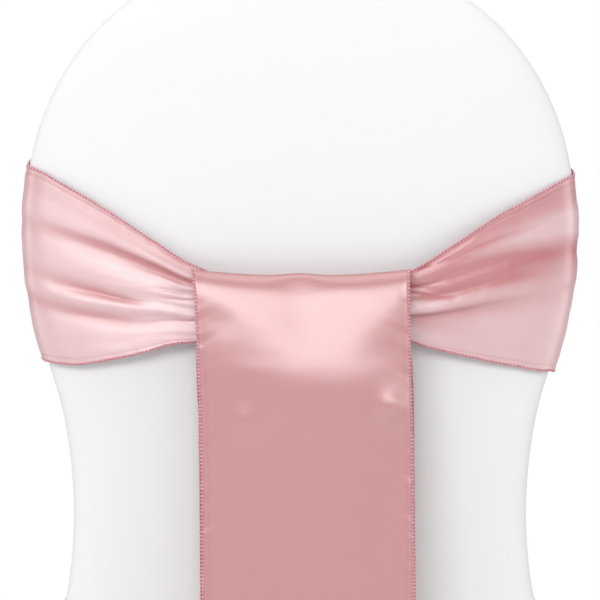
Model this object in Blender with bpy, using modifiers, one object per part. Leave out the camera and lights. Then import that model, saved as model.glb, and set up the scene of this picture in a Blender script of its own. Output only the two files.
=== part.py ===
"""A satin chair sash tied round the back of a covered banquet chair.

The chair stands on the floor with its back's outer face toward -Y and its seat toward +Y.
The sash goes once round the back, is gathered into a knot on the outer face, and ends in two
tails: one folds over the knot and hangs down in front, the other hangs behind it.
Sizes are in millimetres, and the mesh builders turn them into metres.
"""

import math
from typing import NamedTuple

import bmesh
import bpy
from mathutils import Matrix, Vector

# Driving dimensions
MM = 0.001
GAP = 0.3
SASH_WIDTH = 152.0
SASH_WALL = 1.2
COVER_WALL = 1.6

FLOOR_CLEARANCE = 5.0
SEAT_BOTTOM = 398.0
SEAT_TOP = 460.0
CHAIR_TOP = 940.0
WIDEST_HEIGHT = 736.0
BACK_HALF_WIDTH = 199.5
BACK_HALF_DEPTH = 24.0
BACK_ROUNDNESS = 3.2
DOME_ROUNDNESS = 2.2
TOP_ROUNDNESS = 6.0
BACK_RAKE = math.radians(6.0)

SEAT_HALF_WIDTH = 192.0
SEAT_DEPTH = 385.0
SEAT_EDGE = 24.0
SKIRT_SPLAY_SIDE = 24.0
SKIRT_SPLAY_BACK = 22.0
SKIRT_SPLAY_FRONT = 31.0
SKIRT_CORNER_TOP = 26.0
SKIRT_CORNER_FLOOR = 18.0
ARCH_HEIGHT = 300.0
ARCH_FULLNESS = 2.4
LEG_CLEARANCE = 2.0

KNOT_HALF_WIDTH = 30.0
KNOT_TOP = 700.0
KNOT_BOTTOM = 664.0
KNOT_DEPTH = 22.0
KNOT_EDGE = 7.0
TAIL_SEAT = 0.8
TAIL_REFERENCE_HEIGHT = 690.0
TAIL_END = 40.0
UNDER_TAIL_RISE = 6.0

# The footprint's middle, seen from the middle of the back's thickness at the seat's height
FOOTPRINT_MIDDLE = 175.0

BACK_SEGMENTS = 36
DOME_RINGS = 14
WING_COLUMNS = 22
WING_ROWS = 30
BAND_COLUMNS = 40
BAND_ROWS = 12
TAIL_COLUMNS = 14
TAIL_ROWS_PER_SECTION = 3


class BackSection(NamedTuple):
    """Half width of the chair's back at one height below its widest place."""

    height: float
    half_width: float


class BandSection(NamedTuple):
    """Hems of the sash where it lies on the cover, at one distance from the middle line."""

    across: float
    top: float
    bottom: float
    lift: float


class Fold(NamedTuple):
    """A ridge (height over 0) or crease (under 0) that runs along the sash.

    It swells from begin to peak and dies out at end, all measured from the middle line.
    Its place is a share of the sash's width, counted from the lower hem.
    """

    begin: float
    peak: float
    end: float
    begin_share: float
    end_share: float
    height: float
    width: float


class TailSection(NamedTuple):
    """One cross line of a tail: its height, distance out from the cover, and shape.

    Spread is its share of the sash's width, and its middle bulges out and sags below its ends.
    """

    height: float
    out: float
    spread: float
    middle: float
    bulge: float
    sag: float


class SkirtRing(NamedTuple):
    """The skirt's rounded rectangle at one height."""

    half_width: float
    half_depth: float
    middle: float
    corner: float


class SkirtColumn(NamedTuple):
    """A line down the skirt: which side, its place along the side, and its turn at a corner."""

    side: int
    share: float
    bend: float


BACK_SECTIONS = (
    BackSection(398.0, 190.0),
    BackSection(430.0, 183.0),
    BackSection(470.0, 171.0),
    BackSection(510.0, 165.5),
    BackSection(554.0, 165.0),
    BackSection(588.0, 168.5),
    BackSection(610.0, 172.5),
    BackSection(641.0, 181.5),
    BackSection(664.0, 189.0),
    BackSection(700.0, 196.8),
    BackSection(WIDEST_HEIGHT, BACK_HALF_WIDTH),
)

BACK_RING_HEIGHTS = (430.0, 460.0, 490.0, 520.0, 554.0, 580.0, 605.0, 625.0, 645.0, 668.0, 700.0)

LEFT_WING = (
    BandSection(30.0, 697.0, 669.0, 9.0),
    BandSection(52.0, 704.0, 664.0, 8.5),
    BandSection(79.0, 713.0, 659.0, 7.5),
    BandSection(105.0, 729.5, 652.5, 6.0),
    BandSection(125.0, 744.0, 647.5, 4.8),
    BandSection(153.0, 762.0, 643.0, 3.6),
    BandSection(188.0, 781.5, 643.5, 2.2),
    BandSection(BACK_HALF_WIDTH, 790.5, 645.0, 1.6),
)

RIGHT_WING = (
    BandSection(30.0, 697.0, 669.0, 9.0),
    BandSection(52.0, 702.0, 665.0, 8.5),
    BandSection(80.0, 710.0, 660.0, 7.5),
    BandSection(102.0, 725.0, 654.0, 6.2),
    BandSection(134.0, 744.0, 645.5, 4.4),
    BandSection(164.0, 760.0, 640.0, 3.2),
    BandSection(194.0, 777.0, 638.0, 2.2),
    BandSection(BACK_HALF_WIDTH, 784.5, 639.0, 1.6),
)

FAR_BAND = (
    BandSection(-BACK_HALF_WIDTH, 790.5, 645.0, 1.6),
    BandSection(-120.0, 799.0, 650.0, 1.8),
    BandSection(0.0, 800.0, 650.0, 1.6),
    BandSection(120.0, 796.0, 646.0, 1.8),
    BandSection(BACK_HALF_WIDTH, 784.5, 639.0, 1.6),
)

LEFT_FOLDS = (
    Fold(0.0, 60.0, 150.0, 0.93, 0.88, 2.2, 0.06),
    Fold(50.0, 150.0, 235.0, 0.90, 0.76, 1.8, 0.07),
    Fold(0.0, 85.0, 235.0, 0.81, 0.685, -4.2, 0.06),
    Fold(0.0, 85.0, 220.0, 0.71, 0.60, 2.8, 0.06),
    Fold(30.0, 80.0, 130.0, 0.77, 0.49, -2.0, 0.045),
    Fold(30.0, 75.0, 115.0, 0.66, 0.44, -1.8, 0.045),
    Fold(110.0, 140.0, 250.0, 0.385, 0.56, -2.2, 0.055),
    Fold(0.0, 95.0, 235.0, 0.42, 0.42, 2.6, 0.08),
    Fold(0.0, 65.0, 120.0, 0.29, 0.26, -2.2, 0.06),
    Fold(98.0, 150.0, 250.0, 0.20, 0.46, -2.2, 0.06),
    Fold(0.0, 60.0, 140.0, 0.14, 0.12, 1.8, 0.08),
)

RIGHT_FOLDS = (
    Fold(40.0, 90.0, 150.0, 1.0, 0.93, -1.4, 0.04),
    Fold(30.0, 100.0, 235.0, 0.94, 0.715, 2.6, 0.065),
    Fold(30.0, 100.0, 240.0, 0.82, 0.58, -3.4, 0.06),
    Fold(20.0, 95.0, 130.0, 0.80, 0.46, -3.2, 0.05),
    Fold(92.0, 115.0, 200.0, 0.52, 0.56, -2.6, 0.055),
    Fold(30.0, 90.0, 240.0, 0.46, 0.49, 3.4, 0.07),
    Fold(0.0, 85.0, 250.0, 0.25, 0.48, -2.8, 0.05),
    Fold(0.0, 60.0, 140.0, 0.18, 0.12, 2.0, 0.09),
)

FAR_FOLDS = (
    Fold(-250.0, -150.0, 20.0, 0.66, 0.74, 0.9, 0.10),
    Fold(-250.0, -130.0, 60.0, 0.34, 0.42, -0.7, 0.09),
    Fold(-40.0, 150.0, 260.0, 0.60, 0.52, 1.0, 0.09),
    Fold(-60.0, 120.0, 260.0, 0.30, 0.34, -0.7, 0.09),
)

OVER_TAIL = (
    TailSection(KNOT_TOP + TAIL_SEAT, 14.0, 0.395, 0.0, 0.0, 0.0),
    TailSection(704.0, 15.9, 0.72, 0.0, 0.3, 1.5),
    TailSection(707.5, 17.8, 0.93, 0.0, 0.4, 3.0),
    TailSection(711.5, 21.0, 1.03, 0.0, 0.6, 4.5),
    TailSection(710.5, 24.3, 1.023, 0.1, 0.8, 5.0),
    TailSection(704.0, 27.2, 1.018, 0.3, 1.2, 5.5),
    TailSection(692.0, 30.5, 1.01, 1.0, 2.4, 4.5),
    TailSection(677.0, 32.0, 1.0, 1.8, 5.0, 3.0),
    TailSection(650.0, 32.2, 0.993, 2.8, 8.7, 0.5),
    TailSection(630.0, 31.8, 0.991, 3.6, 9.4, 0.0),
    TailSection(600.0, 31.3, 0.99, 4.4, 8.2, 0.0),
    TailSection(560.0, 30.8, 0.989, 5.3, 6.4, 0.0),
    TailSection(400.0, 30.0, 0.989, 6.3, 2.5, 0.0),
    TailSection(200.0, 30.0, 0.99, 6.5, -0.5, 0.0),
    TailSection(TAIL_END, 30.5, 0.99, 6.5, -1.5, 0.0),
)

UNDER_TAIL = (
    TailSection(KNOT_BOTTOM - TAIL_SEAT, 13.0, 0.395, 0.0, 0.0, 0.0),
    TailSection(659.0, 17.0, 0.72, 1.5, 0.5, 0.0),
    TailSection(652.0, 19.5, 0.95, 2.3, 1.0, 0.0),
    TailSection(646.0, 20.5, 1.02, 2.7, 1.0, 0.0),
    TailSection(620.0, 21.3, 1.009, 3.9, 1.0, 0.0),
    TailSection(586.0, 21.5, 1.004, 4.7, 1.0, 0.0),
    TailSection(400.0, 21.5, 1.004, 6.0, 1.0, 0.0),
    TailSection(TAIL_END + UNDER_TAIL_RISE, 22.0, 1.004, 6.3, -1.0, 0.0),
)


def clamp(value, low, high):
    """Value kept between two limits."""
    return max(low, min(high, value))


def smooth_step(value):
    """Ease from 0 to 1 as the value goes from 0 to 1."""
    value = clamp(value, 0.0, 1.0)
    return value * value * (3.0 - 2.0 * value)


def along_rows(rows, at, key):
    """Row of smoothly blended values where the rows' key column has the value at."""
    keys = [getattr(row, key) for row in rows]
    if keys[0] > keys[-1]:
        rows, keys = rows[::-1], keys[::-1]
    at = clamp(at, keys[0], keys[-1])
    index = max(i for i in range(len(keys) - 1) if keys[i] <= at)
    span = keys[index + 1] - keys[index]
    return blend_rows(rows, index, (at - keys[index]) / span, keys)


def blend_rows(rows, index, part, keys):
    """Cubic blend between two neighbouring rows, with slopes from the rows beside them."""
    span = keys[index + 1] - keys[index]

    def slope(column, row):
        before, after = max(row - 1, 0), min(row + 1, len(rows) - 1)
        return (rows[after][column] - rows[before][column]) / (keys[after] - keys[before])

    square, cube = part**2, part**3
    values = []
    for column in range(len(rows[0])):
        values.append(
            (2 * cube - 3 * square + 1) * rows[index][column]
            + (cube - 2 * square + part) * span * slope(column, index)
            + (3 * square - 2 * cube) * rows[index + 1][column]
            + (cube - square) * span * slope(column, index + 1)
        )
    return type(rows[0])(*values)


def back_half_width(height):
    """Half width of the chair's back: a dome above its widest place, a waist below it."""
    if height <= WIDEST_HEIGHT:
        return along_rows(BACK_SECTIONS, height, "height").half_width
    rise = clamp((height - WIDEST_HEIGHT) / (CHAIR_TOP - WIDEST_HEIGHT), 0.0, 1.0)
    return BACK_HALF_WIDTH * (1.0 - rise**DOME_ROUNDNESS) ** (1.0 / DOME_ROUNDNESS)


def back_half_depth(height):
    """Half thickness of the back, which rounds off toward the top of the dome."""
    rise = clamp((height - WIDEST_HEIGHT) / (CHAIR_TOP - WIDEST_HEIGHT), 0.0, 1.0)
    return BACK_HALF_DEPTH * (1.0 - rise**TOP_ROUNDNESS) ** 0.5


def back_middle(height):
    """Y of the middle of the back's thickness, which leans out above the seat."""
    return -math.tan(BACK_RAKE) * max(height - SEAT_TOP, 0.0) - FOOTPRINT_MIDDLE


def round_power(value, power):
    """Signed power, which squares up a circle's sine and cosine."""
    return math.copysign(abs(value) ** power, value)


def cover_point(turn, height, lift):
    """Point at a lift above the cover of the chair's back.

    The turn goes from 0 at the middle of the outer face through 1 at the side with +X
    to 2 at the middle of the seat's face, and below 0 by way of the side with -X.
    """
    angle = (turn - 1.0) * math.pi / 2
    half_width, half_depth = back_half_width(height), back_half_depth(height)
    power = 2.0 / BACK_ROUNDNESS
    x = half_width * round_power(math.cos(angle), power)
    y = half_depth * round_power(math.sin(angle), power)
    normal = Vector(
        (
            round_power(x / half_width, BACK_ROUNDNESS - 1) / half_width,
            round_power(y / half_depth, BACK_ROUNDNESS - 1) / half_depth,
            0.0,
        )
    ).normalized()
    return Vector((x, y + back_middle(height), height)) + normal * lift


def turn_at(across):
    """Turn from the middle of the outer face to a distance from the middle line."""
    share = clamp(across / BACK_HALF_WIDTH, 0.0, 1.0)
    return math.asin(share ** (BACK_ROUNDNESS / 2)) * 2 / math.pi


def turn_before_side(distance):
    """Turn to the point that lies a distance short of the side's middle."""
    return 1.0 - math.asin((distance / BACK_HALF_DEPTH) ** (BACK_ROUNDNESS / 2)) * 2 / math.pi


def across_at(turn):
    """Distance from the middle line at a turn, the reverse of turn_at on the outer face."""
    return BACK_HALF_WIDTH * math.sin(clamp(turn, 0.0, 1.0) * math.pi / 2) ** (2 / BACK_ROUNDNESS)


def fold_height(folds, across, share):
    """Height that the folds add at one place on the sash."""
    total = 0.0
    for fold in folds:
        if not fold.begin < across < fold.end:
            continue
        rise = smooth_step((across - fold.begin) / (fold.peak - fold.begin))
        fall = smooth_step((fold.end - across) / (fold.end - fold.peak))
        run = (across - fold.begin) / (fold.end - fold.begin)
        line = fold.begin_share + (fold.end_share - fold.begin_share) * run
        total += fold.height * rise * fall * math.exp(-(((share - line) / fold.width) ** 2))
    return total


def material(name, colour, roughness, sheen=0.0):
    """Plain Principled material with a colour and a roughness."""
    made = bpy.data.materials.new(name)
    made.use_nodes = True
    shader = made.node_tree.nodes["Principled BSDF"]
    shader.inputs["Base Color"].default_value = (*colour, 1.0)
    shader.inputs["Roughness"].default_value = roughness
    shader.inputs["Metallic"].default_value = 0.0
    shader.inputs["Sheen Weight"].default_value = sheen
    made.diffuse_color = (*colour, 1.0)
    return made


def mesh_object(name, points, faces, finish, collection):
    """Smooth-shaded object through points in millimetres."""
    mesh = bpy.data.meshes.new(name)
    mesh.from_pydata([point * MM for point in points], [], faces)
    mesh.shade_smooth()
    made = bpy.data.objects.new(name, mesh)
    made.data.materials.append(finish)
    collection.objects.link(made)
    return made


def sheet(name, columns, wall, finish, collection):
    """Cloth through columns of points, with its wall built evenly to both sides."""
    rows = len(columns[0])
    points = [point for column in columns for point in column]
    faces = []
    for column in range(len(columns) - 1):
        for row in range(rows - 1):
            corner = column * rows + row
            faces.append((corner, corner + rows, corner + rows + 1, corner + 1))
    made = mesh_object(name, points, faces, finish, collection)
    add_wall(made, wall)
    return made


def add_wall(made, wall):
    """Solidify modifier that gives an open surface its wall."""
    solidify = made.modifiers.new("wall", "SOLIDIFY")
    solidify.thickness = wall * MM
    solidify.offset = 0.0
    solidify.use_rim = True


def loft(name, rings, finish, collection):
    """Solid through closed rings of points, each ring anticlockwise from above, bottom first."""
    count = len(rings[0])
    points = [point for ring in rings for point in ring]
    faces = [tuple(reversed(range(count)))]
    for level in range(len(rings) - 1):
        for step in range(count):
            corner = level * count + step
            beside = level * count + (step + 1) % count
            faces.append((corner, beside, beside + count, corner + count))
    faces.append(tuple(range((len(rings) - 1) * count, len(rings) * count)))
    return mesh_object(name, points, faces, finish, collection)


def make_chair_back(finish, collection):
    """Padded crown back, from under the seat's edge to the top of the dome."""
    heights = [SEAT_BOTTOM + GAP, *BACK_RING_HEIGHTS]
    dome = CHAIR_TOP - WIDEST_HEIGHT
    for step in range(DOME_RINGS):
        heights.append(WIDEST_HEIGHT + dome * math.sin(math.pi / 2 * step / DOME_RINGS))
    rings = []
    for height in heights:
        turns = [4.0 * step / BACK_SEGMENTS for step in range(BACK_SEGMENTS)]
        rings.append([cover_point(turn, height, 0.0) for turn in turns])
    return loft("chair_back", rings, finish, collection)


def make_chair_seat(finish, collection):
    """Padded seat in front of the back, rounded at its top edges and front corners."""
    front_of_back = BACK_HALF_DEPTH + GAP
    size = Vector((2 * SEAT_HALF_WIDTH, SEAT_DEPTH - GAP, SEAT_TOP - SEAT_BOTTOM - GAP))
    shape = bmesh.new()
    bmesh.ops.create_cube(shape, size=1.0, matrix=Matrix.Diagonal((*(size * MM), 1.0)))
    corners = [edge for edge in shape.edges if is_upright(edge) and edge.verts[0].co.y > 0]
    round_edges(shape, corners, SKIRT_CORNER_TOP, 5)
    top = [edge for edge in shape.edges if all(point.co.z > 0 for point in edge.verts)]
    round_edges(shape, top, SEAT_EDGE, 5)
    mesh = bpy.data.meshes.new("chair_seat")
    shape.to_mesh(mesh)
    shape.free()
    mesh.shade_smooth()
    made = bpy.data.objects.new("chair_seat", mesh)
    place = Vector((0.0, front_of_back + size.y / 2 - FOOTPRINT_MIDDLE, SEAT_TOP - size.z / 2))
    made.location = place * MM
    made.data.materials.append(finish)
    collection.objects.link(made)
    return made


def is_upright(edge):
    """Whether an edge of a box runs along Z."""
    first, second = edge.verts
    return abs(first.co.z - second.co.z) > GAP * MM


def round_edges(shape, edges, radius, steps):
    """Round some edges of a mesh under construction."""
    bmesh.ops.bevel(
        shape, geom=edges, offset=radius * MM, segments=steps, profile=0.5, affect="EDGES"
    )


def skirt_ring(height):
    """Size and place of the skirt's rounded rectangle at a height."""
    fall = clamp((SEAT_BOTTOM - height) / SEAT_BOTTOM, 0.0, 1.0)
    back = -BACK_HALF_DEPTH - SKIRT_SPLAY_BACK * fall
    front = BACK_HALF_DEPTH + SEAT_DEPTH + SKIRT_SPLAY_FRONT * fall
    return SkirtRing(
        SEAT_HALF_WIDTH + SKIRT_SPLAY_SIDE * fall - COVER_WALL / 2,
        (front - back - COVER_WALL) / 2,
        (front + back) / 2 - FOOTPRINT_MIDDLE,
        SKIRT_CORNER_TOP + (SKIRT_CORNER_FLOOR - SKIRT_CORNER_TOP) * fall,
    )


def skirt_columns():
    """Columns round the skirt, closer together beside the feet, where the arches are steep."""
    corner_steps = 4
    side_steps = 12
    columns = []
    for side in range(4):
        for step in range(side_steps):
            share = math.sin(math.pi / 2 * (2.0 * step / side_steps - 1.0))
            columns.append(SkirtColumn(side, share, 0.0))
        for step in range(corner_steps):
            columns.append(SkirtColumn(side, 1.0, math.pi / 2 * step / corner_steps))
    return columns


def skirt_point(column, height):
    """Point of one column of the skirt: along a side, or round the corner after it."""
    ring = skirt_ring(height)
    run, outward = ring.half_width, ring.half_depth
    if column.side % 2 == 1:
        run, outward = outward, run
    along = (run - ring.corner) * column.share
    if column.share == 1.0:
        along += ring.corner * math.sin(column.bend)
        outward -= ring.corner * (1.0 - math.cos(column.bend))
    turned = Matrix.Rotation(column.side * math.pi / 2, 3, "Z") @ Vector((along, -outward, 0.0))
    return Vector((turned.x, turned.y + ring.middle, height))


def arch_bottom(share):
    """Height of the skirt's lower hem: an arch between two feet."""
    rise = max(1.0 - abs(share) ** ARCH_FULLNESS, 0.0) ** (1.0 / ARCH_FULLNESS)
    return FLOOR_CLEARANCE + (ARCH_HEIGHT - FLOOR_CLEARANCE) * rise


def make_chair_skirt(finish, collection):
    """Lower part of the stretch cover, drawn down over the four legs in arches."""
    rows = 8
    columns = []
    for column in skirt_columns():
        lowest = arch_bottom(column.share)
        heights = [SEAT_BOTTOM + (lowest - SEAT_BOTTOM) * row / rows for row in range(rows + 1)]
        columns.append([skirt_point(column, height) for height in heights])
    count, size = len(columns), rows + 1
    points = [point for column in columns for point in column]
    faces = []
    for index in range(count):
        beside = (index + 1) % count
        for row in range(rows):
            faces.append(
                (
                    index * size + row + 1,
                    beside * size + row + 1,
                    beside * size + row,
                    index * size + row,
                )
            )
    made = mesh_object("chair_skirt", points, faces, finish, collection)
    add_wall(made, COVER_WALL)
    return made


def make_chair_legs(finish, collection):
    """Four round legs that fill the skirt's corners, each with a flat foot on the floor."""
    sides = 16
    for end, toward in (("back", -1), ("front", 1)):
        for hand, way in (("left", -1), ("right", 1)):
            rings = []
            for height in (0.0, SEAT_BOTTOM - GAP):
                corner = skirt_ring(height)
                x = way * (corner.half_width - corner.corner)
                y = corner.middle + toward * (corner.half_depth - corner.corner)
                ring = []
                for step in range(sides):
                    angle = 2 * math.pi * step / sides
                    around = Vector((math.cos(angle), math.sin(angle), 0.0))
                    ring.append(Vector((x, y, height)) + around * (corner.corner - LEG_CLEARANCE))
                rings.append(ring)
            loft(f"chair_leg_{end}_{hand}", rings, finish, collection)


def wing_columns(sections, folds, way):
    """Columns of one wing, from the knot outward to the middle of the chair's side."""
    narrowing = BACK_HALF_WIDTH / back_half_width(KNOT_BOTTOM)
    start = turn_at((KNOT_HALF_WIDTH + 2 * GAP) * narrowing)
    finish = turn_before_side(GAP / 2)
    columns = []
    for step in range(WING_COLUMNS + 1):
        part = step / WING_COLUMNS
        turn = start + (finish - start) * part
        across = across_at(turn)
        section = along_rows(sections, across, "across")
        column = []
        for row in range(WING_ROWS + 1):
            share = row / WING_ROWS
            height = section.bottom + (section.top - section.bottom) * share
            lift = section.lift + fold_height(folds, across, share)
            column.append(cover_point(way * turn, height, max(lift, SASH_WALL)))
        columns.append(column)
    return columns


def make_wings(finish, collection):
    """The two gathered stretches between the knot and the chair's sides."""
    left = wing_columns(LEFT_WING, LEFT_FOLDS, -1)
    right = wing_columns(RIGHT_WING, RIGHT_FOLDS, 1)
    return [
        sheet("sash_wing_left", left, SASH_WALL, finish, collection),
        sheet("sash_wing_right", right, SASH_WALL, finish, collection),
    ]


def make_band(finish, collection):
    """The stretch that goes round the sides and over the seat's face of the back."""
    first = 2.0 - turn_before_side(GAP / 2)
    columns = []
    for step in range(BAND_COLUMNS + 1):
        part = 2.0 * step / BAND_COLUMNS - 1.0
        turn = 2.0 + part * (2.0 - first)
        across = math.copysign(across_at(2.0 - turn if turn < 2.0 else turn - 2.0), -part)
        section = along_rows(FAR_BAND, across, "across")
        column = []
        for row in range(BAND_ROWS + 1):
            share = row / BAND_ROWS
            height = section.bottom + (section.top - section.bottom) * share
            lift = section.lift + fold_height(FAR_FOLDS, across, share)
            column.append(cover_point(turn, height, max(lift, SASH_WALL)))
        columns.append(column)
    return sheet("sash_band", columns, SASH_WALL, finish, collection)


def make_knot(finish, collection):
    """Tied crossing of the sash, hidden under the folded tail."""
    surface = cover_point(0.0, TAIL_REFERENCE_HEIGHT, 0.0).y
    size = Vector((2 * KNOT_HALF_WIDTH, KNOT_DEPTH, KNOT_TOP - KNOT_BOTTOM))
    middle = (KNOT_TOP + KNOT_BOTTOM) / 2
    nearest = 2 * GAP + math.tan(BACK_RAKE) * (KNOT_TOP - TAIL_REFERENCE_HEIGHT)
    mesh = bpy.data.meshes.new("sash_knot")
    shape = bmesh.new()
    bmesh.ops.create_cube(shape, size=1.0, matrix=Matrix.Diagonal((*(size * MM), 1.0)))
    shape.to_mesh(mesh)
    shape.free()
    made = bpy.data.objects.new("sash_knot", mesh)
    made.location = Vector((0.0, surface - nearest - KNOT_DEPTH / 2, middle)) * MM
    made.data.materials.append(finish)
    collection.objects.link(made)
    bevel = made.modifiers.new("rounded edges", "BEVEL")
    bevel.width = KNOT_EDGE * MM
    bevel.segments = 3
    bevel.limit_method = "NONE"
    mesh.shade_smooth()
    return made


def make_tail(name, sections, finish, collection):
    """A tail through its cross lines, smooth along its length."""
    surface = cover_point(0.0, TAIL_REFERENCE_HEIGHT, 0.0).y
    keys = list(range(len(sections)))
    columns = []
    for index in range(len(sections) - 1):
        last = index == len(sections) - 2
        for step in range(TAIL_ROWS_PER_SECTION + last):
            line = blend_rows(sections, index, step / TAIL_ROWS_PER_SECTION, keys)
            row = []
            for column in range(TAIL_COLUMNS + 1):
                side = 2.0 * column / TAIL_COLUMNS - 1.0
                inward = 1.0 - side * side
                x = line.middle + side * line.spread * SASH_WIDTH / 2
                y = surface - line.out - line.bulge * inward
                row.append(Vector((x, y, line.height - line.sag * inward)))
            columns.append(row)
    return sheet(name, columns, SASH_WALL, finish, collection)


def main():
    """Clear the scene and build the sash and the chair that it is tied round."""
    for made in list(bpy.data.objects):
        bpy.data.objects.remove(made, do_unlink=True)
    collection = bpy.data.collections.new("chair_sash")
    bpy.context.scene.collection.children.link(collection)
    satin = material("rose satin", (0.72, 0.38, 0.39), 0.35, 0.3)
    cover = material("white stretch cover", (0.86, 0.86, 0.87), 0.75, 0.2)
    steel = material("grey painted steel", (0.35, 0.35, 0.36), 0.45)
    make_chair_back(cover, collection)
    make_chair_seat(cover, collection)
    make_chair_skirt(cover, collection)
    make_chair_legs(steel, collection)
    make_wings(satin, collection)
    make_band(satin, collection)
    make_knot(satin, collection)
    make_tail("sash_tail_over", OVER_TAIL, satin, collection)
    make_tail("sash_tail_under", UNDER_TAIL, satin, collection)


main()
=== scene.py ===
"""Looks of a satin chair sash that is tied round the back of a covered banquet chair.

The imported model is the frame. The sash is built again as thin cloth with its own folds and an
overlocked edge, and the chair gets a smooth stretch cover. Tables are in millimetres.
"""

import logging
import math
from dataclasses import dataclass, field, replace
from enum import Enum
from functools import partial
from typing import Any, Sequence

import bmesh
import bpy
import numpy as np
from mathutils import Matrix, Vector, noise


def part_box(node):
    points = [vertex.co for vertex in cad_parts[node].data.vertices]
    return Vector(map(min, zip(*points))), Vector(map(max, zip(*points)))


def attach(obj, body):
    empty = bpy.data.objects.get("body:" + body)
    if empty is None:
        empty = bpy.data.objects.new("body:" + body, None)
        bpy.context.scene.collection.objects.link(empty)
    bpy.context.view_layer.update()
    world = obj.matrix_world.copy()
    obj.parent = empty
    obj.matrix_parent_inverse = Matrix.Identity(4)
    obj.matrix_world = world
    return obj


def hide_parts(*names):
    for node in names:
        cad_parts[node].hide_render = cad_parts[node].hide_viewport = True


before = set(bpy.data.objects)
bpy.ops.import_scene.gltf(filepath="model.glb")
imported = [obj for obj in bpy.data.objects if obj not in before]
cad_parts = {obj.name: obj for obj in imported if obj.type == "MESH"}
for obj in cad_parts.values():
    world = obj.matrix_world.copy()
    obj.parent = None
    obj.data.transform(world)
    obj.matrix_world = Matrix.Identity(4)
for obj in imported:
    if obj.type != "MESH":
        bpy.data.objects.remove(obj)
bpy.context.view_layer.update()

LOG = logging.getLogger("chair_sash")
MM = 0.001
BODY = "root"
STITCH_INSET = 4.4
STITCH_WIDTH = 0.9


class FoldShape(Enum):
    """Cross-section of a fold."""

    SOFT = "rounded ridge or valley"
    SHARP = "narrow pressed crease"
    LAP = "rounded fold that lies over the cloth below it"
    STEP = "edge above which all the cloth stands higher"


@dataclass(frozen=True)
class Hems:
    """Where the sash's two hems lie at one distance along it, and how far it stands off."""

    along: float
    top: float
    bottom: float
    lift: float


@dataclass(frozen=True)
class Fold:
    """A ridge (height over 0) or crease (under 0) that runs along the sash.

    It swells from begin to peak and dies out at end, along the cloth. Its line is a share
    of the sash's width, counted from the lower hem. Its painted-shade weight, up to 1, is how
    much painted shade darkens the cloth along it; under 0 it takes away painted shade that
    other folds lay there, which paints light along it.
    """

    begin: float
    peak: float
    end: float
    begin_share: float
    end_share: float
    height: float
    width: float
    shape: FoldShape = FoldShape.SOFT
    tone: float = 0.0


@dataclass(frozen=True)
class Waves:
    """Small uneven waves over the sash, with a share of their height that fades from the knot."""

    length: float
    width: float
    seed: float
    height: float
    beside_knot: float = 0.0

    def over(self, spot: np.ndarray) -> np.ndarray:
        """Values between about -1 and 1 at places on the flat cut."""
        return soft_noise(spot, (self.length, self.width), self.seed)

    def strength(self, nearness: np.ndarray) -> np.ndarray:
        """Height of the waves, where nearness is 1 at the knot and 0 far from it."""
        return self.height + self.beside_knot * nearness


@dataclass(frozen=True)
class TailLine:
    """A line across a hanging tail: its height, distance out, spread, shift and bulge."""

    height: float
    out: float
    spread: float
    middle: float
    bulge: float


@dataclass(frozen=True)
class Dimple:
    """A small round rise (or hollow, under 0) in a hanging tail."""

    x: float
    height: float
    radius: float
    rise: float


def smooth_step(value: np.ndarray | float) -> np.ndarray:
    """Ease from 0 to 1.

    Args:
        value: Position, where 0 is the start and 1 the end of the ease.

    Returns:
        The eased value, kept between 0 and 1.
    """
    value = np.clip(value, 0.0, 1.0)
    return value * value * (3.0 - 2.0 * value)


def blend(rows: Sequence, key: str | None, column: str, at: np.ndarray) -> np.ndarray:
    """Smooth curve through one column of a table.

    Args:
        rows: The table's rows, in rising or falling order of the key.
        key: Name of the column that holds the position, or None for the row's number.
        column: Name of the column that is read.
        at: Positions to read it at.

    Returns:
        The column's value at each position.
    """
    keys = np.arange(float(len(rows)))
    if key is not None:
        keys = np.array([getattr(row, key) for row in rows], float)
    values = np.array([getattr(row, column) for row in rows], float)
    if keys[0] > keys[-1]:
        keys, values = keys[::-1], values[::-1]
    slopes = np.gradient(values, keys) if len(keys) > 2 else np.zeros(len(keys))
    at = np.clip(at, keys[0], keys[-1])
    index = np.clip(np.searchsorted(keys, at, side="right") - 1, 0, len(keys) - 2)
    span = keys[index + 1] - keys[index]
    part = (at - keys[index]) / span
    square, cube = part**2, part**3
    return (
        (2 * cube - 3 * square + 1) * values[index]
        + (cube - 2 * square + part) * span * slopes[index]
        + (3 * square - 2 * cube) * values[index + 1]
        + (cube - square) * span * slopes[index + 1]
    )


def soft_noise(points: np.ndarray, size: tuple[float, float], seed: float) -> np.ndarray:
    """Smooth uneven values over a cloth, the same on each run.

    Args:
        points: Array of (along, across) places in millimetres, last axis 2.
        size: Length of an uneven patch along and across the cloth, in millimetres.
        seed: Offset that tells one pattern from another.

    Returns:
        Values between about -1 and 1, one for each place.
    """
    flat = points.reshape(-1, 2)
    values = [noise.noise(Vector((a / size[0], b / size[1], seed))) for a, b in flat]
    return np.array(values).reshape(points.shape[:-1])


def signed_power(value: np.ndarray, power: float) -> np.ndarray:
    """Power that keeps the sign, which squares up a sine or cosine."""
    return np.sign(value) * np.abs(value) ** power


def feed(node: bpy.types.Node, inputs: dict[str | int, Any]) -> None:
    """Set a node's inputs.

    Args:
        node: The node.
        inputs: Its inputs by name or number, each a plain value or the socket that feeds it.
    """
    for name, value in inputs.items():
        if isinstance(value, bpy.types.NodeSocket):
            node.id_data.links.new(value, node.inputs[name])
        else:
            node.inputs[name].default_value = value


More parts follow.
